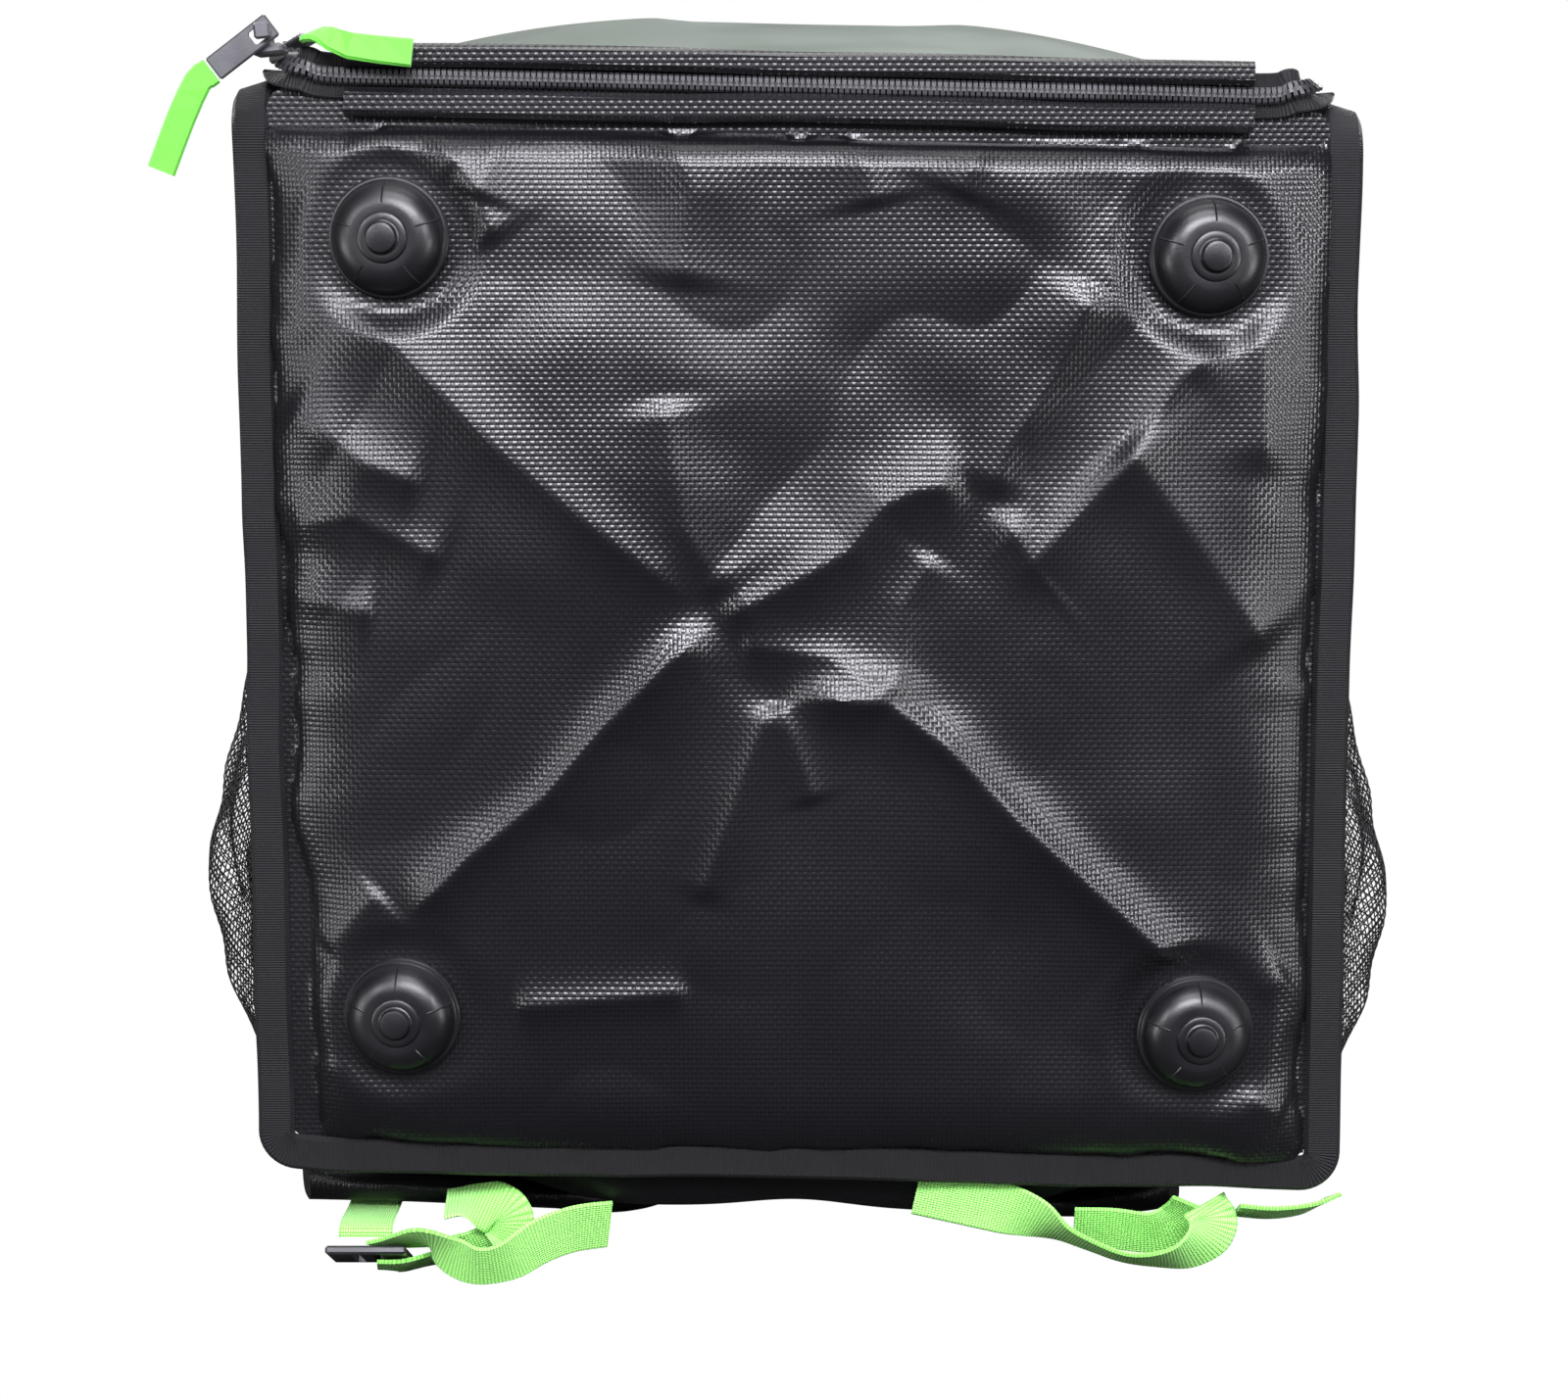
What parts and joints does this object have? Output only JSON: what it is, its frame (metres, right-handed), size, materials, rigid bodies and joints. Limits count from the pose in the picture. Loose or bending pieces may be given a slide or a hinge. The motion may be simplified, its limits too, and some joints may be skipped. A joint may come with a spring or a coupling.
{
  "type": "insulated delivery backpack",
  "caption": "Box-shaped insulated backpack lying on its back, with domed feet on its underside, a zipped front door, mesh side pockets and webbing shoulder straps.",
  "frame": {"origin": "middle of the bounding box's footprint, on the surface that the bag lies on", "axes": "+X across the bag, to the right as its underside is looked at; +Y from the underside to the top end; +Z from the back to the front door"},
  "size_m": [0.4518, 0.4843, 0.474],
  "materials": {
    "coated_fabric": "glossy coated plain weave",
    "smooth_vinyl": "smooth gloss",
    "padded_fabric": "matt",
    "binding_tape": "ribbed, matt",
    "rubber": "satin",
    "plastic": "satin",
    "dark_metal": "satin",
    "green_webbing": "woven",
    "mesh_cloth": "open net"
  },
  "bodies": {
    "bag": {"bottom_panel": "coated_fabric", "side_panel_left": "coated_fabric", "side_panel_right": "coated_fabric", "top_panel": "coated_fabric", "back_panel": "padded_fabric", "door_panel": "smooth_vinyl", "binding_bottom": "binding_tape", "binding_top": "binding_tape", "binding_back_left": "binding_tape", "binding_back_right": "binding_tape", "foot_front_left": "rubber", "foot_front_right": "rubber", "foot_back_left": "rubber", "foot_back_right": "rubber", "zip_tape": "binding_tape", "zip_chain": "plastic", "zip_welt_lower": "coated_fabric", "zip_welt_upper": "coated_fabric", "slider_left": "dark_metal", "slider_right": "dark_metal", "mesh_pocket_left": "mesh_cloth", "mesh_pocket_right": "mesh_cloth", "pocket_hem_left": "binding_tape", "pocket_hem_right": "binding_tape", "strap_pad_left": "padded_fabric", "strap_pad_right": "padded_fabric", "strap_buckle_left": "plastic", "strap_webbing_left": "green_webbing", "webbing_tail_left": "green_webbing", "webbing_loop_left": "green_webbing", "strap_webbing_right": "green_webbing", "webbing_inner_right": "green_webbing", "webbing_tail_right": "green_webbing"},
    "left_pull": {"pull_left": "dark_metal", "tab_left": "green_webbing"},
    "right_pull": {"pull_right": "dark_metal", "tab_right": "green_webbing"}
  },
  "joints": [
    {"name": "left_pull_swing", "type": "hinge", "parent": "bag", "child": "left_pull", "pos_m": [-0.18679, -0.2248, 0.45855], "axis": [0, 1, 0], "range_deg": [0, 150]},
    {"name": "right_pull_lift", "type": "hinge", "parent": "bag", "child": "right_pull", "pos_m": [-0.1825, -0.1935, 0.45432], "axis": [-0.8944, -0.4472, 0], "range_deg": [0, 120]}
  ]
}
